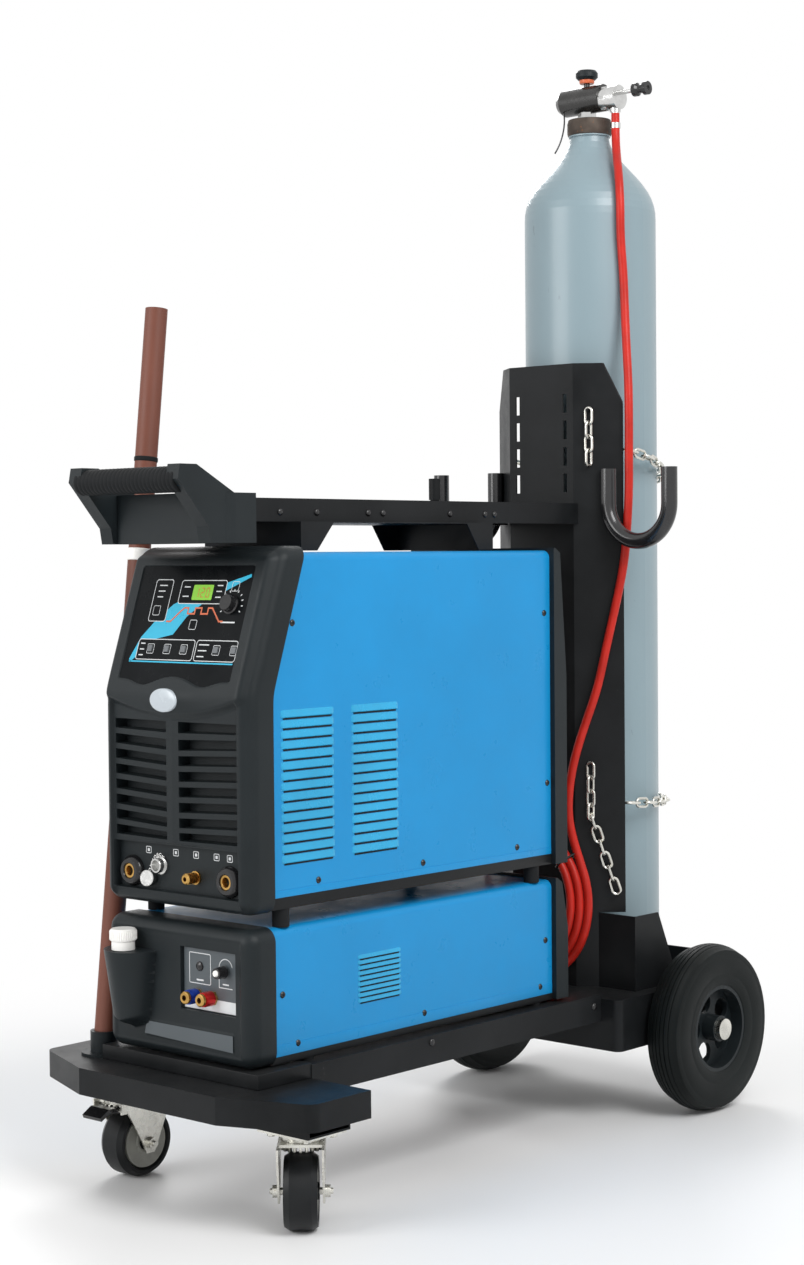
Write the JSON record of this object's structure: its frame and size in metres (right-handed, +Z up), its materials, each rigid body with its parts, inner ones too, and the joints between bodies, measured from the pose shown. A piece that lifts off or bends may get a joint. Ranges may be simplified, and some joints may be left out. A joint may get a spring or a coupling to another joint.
{
  "type": "inverter welder with water cooler on a gas-cylinder cart",
  "caption": "Upright inverter welder over a water cooler on a steel cart with swivel casters, rear wheels, cable hooks, rod tube, push handle and a chained gas cylinder.",
  "frame": {"origin": "on the floor at the middle of the overall length and width", "axes": "+X to the right across the cart, -Y to the front with the handle and controls, +Z up"},
  "size_m": [0.542, 1.176, 1.715],
  "materials": {
    "black_steel": "satin powder coat",
    "blue_paint": "fine textured paint",
    "inner_zinc": "zinc plated",
    "dark_plastic": "fine moulded grain",
    "gloss_black": "glossy",
    "panel_black": "printed gloss film",
    "button_grey": "satin",
    "white_plastic": "satin",
    "rubber_black": "matte",
    "tyre_black": "matte",
    "caster_tyre": "matte",
    "bright_zinc": "bright zinc",
    "hook_black": "gloss powder coat",
    "tube_brown": "satin paint",
    "bottle_blue": "semi-gloss paint",
    "valve_brass": "dull",
    "valve_black": "blackened",
    "regulator_metal": "bright",
    "hose_red": "satin",
    "radiator_metal": "finned",
    "tank_plastic": "translucent"
  },
  "bodies": {
    "cart": {"axle_box": "black_steel", "base_rails": "black_steel", "cable_hooks": "hook_black", "caster_plates": "bright_zinc", "column": "black_steel", "cooler_chassis": "inner_zinc", "cooler_cover": "blue_paint", "cooler_front_bezel": "dark_plastic", "cooler_rear_bezel": "dark_plastic", "cylinder_chains": "bright_zinc", "cylinder_tray": "black_steel", "cylinder_valve": "valve_black", "front_deck": "black_steel", "gas_cylinder": "bottle_blue", "gas_hose": "hose_red", "gas_hose_coil": "hose_red", "gas_hose_tail": "hose_red", "handle_grip": "rubber_black", "handle_housing": "dark_plastic", "radiator": "radiator_metal", "rear_axle": "bright_zinc", "regulator": "regulator_metal", "rod_tube": "tube_brown", "rod_tube_socket": "dark_plastic", "rubber_feet": "rubber_black", "saddle_pan": "black_steel", "top_beam": "black_steel", "water_couplings": "valve_brass", "water_pump": "inner_zinc", "water_tank": "tank_plastic", "welder_chassis": "inner_zinc", "welder_control_panel": "panel_black", "welder_cover": "blue_paint", "welder_front_bezel": "dark_plastic", "welder_power_stage": "radiator_metal", "welder_rear_bezel": "dark_plastic", "welder_sockets": "valve_brass"},
    "left_rear": {"left_rear_tyre": "tyre_black", "left_rear_rim": "dark_plastic"},
    "right_rear": {"right_rear_tyre": "tyre_black", "right_rear_rim": "dark_plastic"},
    "left_fork": {"left_caster_fork": "bright_zinc"},
    "right_fork": {"right_caster_fork": "bright_zinc"},
    "left_roller": {"left_caster_wheel": "caster_tyre"},
    "right_roller": {"right_caster_wheel": "caster_tyre"},
    "left_pedal": {"left_caster_pedal": "gloss_black"},
    "right_pedal": {"right_caster_pedal": "gloss_black"},
    "bottle_handwheel": {"valve_handwheel": "dark_plastic"},
    "pressure_knob": {"regulator_knob": "gloss_black"},
    "encoder": {"encoder_knob": "gloss_black"},
    "key_one": {"button_one": "button_grey"},
    "key_two": {"button_two": "button_grey"},
    "key_three": {"button_three": "button_grey"},
    "key_four": {"button_four": "button_grey"},
    "key_five": {"button_five": "button_grey"},
    "mains_switch": {"power_switch": "gloss_black"},
    "upper_fan": {"welder_fan": "dark_plastic"},
    "lower_fan": {"cooler_fan": "dark_plastic"},
    "tank_cap": {"filler_cap": "white_plastic"},
    "fuse_holder_cap": {"fuse_cap": "gloss_black"}
  },
  "joints": [
    {"name": "left_rear_roll", "type": "hinge", "parent": "cart", "child": "left_rear", "pos_m": [-0.233, 0.453, 0.135], "axis": [1, 0, 0], "continuous": true},
    {"name": "right_rear_roll", "type": "hinge", "parent": "cart", "child": "right_rear", "pos_m": [0.233, 0.453, 0.135], "axis": [1, 0, 0], "continuous": true},
    {"name": "left_swivel", "type": "hinge", "parent": "cart", "child": "left_fork", "pos_m": [-0.183, -0.44, 0.11], "axis": [0, 0, 1], "continuous": true},
    {"name": "right_swivel", "type": "hinge", "parent": "cart", "child": "right_fork", "pos_m": [0.183, -0.44, 0.11], "axis": [0, 0, 1], "continuous": true},
    {"name": "left_roll", "type": "hinge", "parent": "left_fork", "child": "left_roller", "pos_m": [-0.183, -0.415, 0.052], "axis": [-1, 0, 0], "continuous": true},
    {"name": "right_roll", "type": "hinge", "parent": "right_fork", "child": "right_roller", "pos_m": [0.19973, -0.45858, 0.052], "axis": [0.7431, 0.6691, 0], "continuous": true},
    {"name": "left_brake", "type": "hinge", "parent": "left_fork", "child": "left_pedal", "pos_m": [-0.183, -0.466, 0.1067], "axis": [-1, 0, 0], "range_deg": [-12, 0]},
    {"name": "right_brake", "type": "hinge", "parent": "right_fork", "child": "right_pedal", "pos_m": [0.1656, -0.42068, 0.1067], "axis": [0.7431, 0.6691, 0], "range_deg": [-12, 0]},
    {"name": "bottle_valve_turn", "type": "hinge", "parent": "cart", "child": "bottle_handwheel", "pos_m": [-0.005, 0.458, 1.705], "axis": [0, 0, 1], "range_deg": [0, 720]},
    {"name": "pressure_turn", "type": "hinge", "parent": "cart", "child": "pressure_knob", "pos_m": [0.107, 0.458, 1.67], "axis": [1, 0, 0], "range_deg": [0, 720]},
    {"name": "encoder_turn", "type": "hinge", "parent": "cart", "child": "encoder", "pos_m": [0.082, -0.45847, 0.839], "axis": [0, -0.9482, 0.3176], "continuous": true},
    {"name": "key_one_press", "type": "slide", "parent": "cart", "child": "key_one", "axis": [0, 0.9482, -0.3176], "range_m": [0, 0.0008], "stiffness_N_per_m": 1500, "springref_m": -0.0005},
    {"name": "key_two_press", "type": "slide", "parent": "cart", "child": "key_two", "axis": [0, 0.9482, -0.3176], "range_m": [0, 0.0008], "stiffness_N_per_m": 1500, "springref_m": -0.0005},
    {"name": "key_three_press", "type": "slide", "parent": "cart", "child": "key_three", "axis": [0, 0.9482, -0.3176], "range_m": [0, 0.0008], "stiffness_N_per_m": 1500, "springref_m": -0.0005},
    {"name": "key_four_press", "type": "slide", "parent": "cart", "child": "key_four", "axis": [0, 0.9482, -0.3176], "range_m": [0, 0.0008], "stiffness_N_per_m": 1500, "springref_m": -0.0005},
    {"name": "key_five_press", "type": "slide", "parent": "cart", "child": "key_five", "axis": [0, 0.9482, -0.3176], "range_m": [0, 0.0008], "stiffness_N_per_m": 1500, "springref_m": -0.0005},
    {"name": "mains_turn", "type": "hinge", "parent": "cart", "child": "mains_switch", "pos_m": [0.075, 0.165, 0.54], "axis": [0, 1, 0], "range_deg": [0, 90]},
    {"name": "upper_fan_spin", "type": "hinge", "parent": "cart", "child": "upper_fan", "pos_m": [0, 0.12, 0.7], "axis": [0, 1, 0], "continuous": true},
    {"name": "lower_fan_spin", "type": "hinge", "parent": "cart", "child": "lower_fan", "pos_m": [0, 0.12, 0.305], "axis": [0, 1, 0], "continuous": true},
    {"name": "tank_cap_turn", "type": "hinge", "parent": "cart", "child": "tank_cap", "pos_m": [-0.087, -0.519, 0.37], "axis": [0, 0, 1], "range_deg": [0, 360]},
    {"name": "fuse_cap_turn", "type": "hinge", "parent": "cart", "child": "fuse_holder_cap", "pos_m": [0.092, -0.5, 0.341], "axis": [0, 1, 0], "range_deg": [0, 90]}
  ]
}
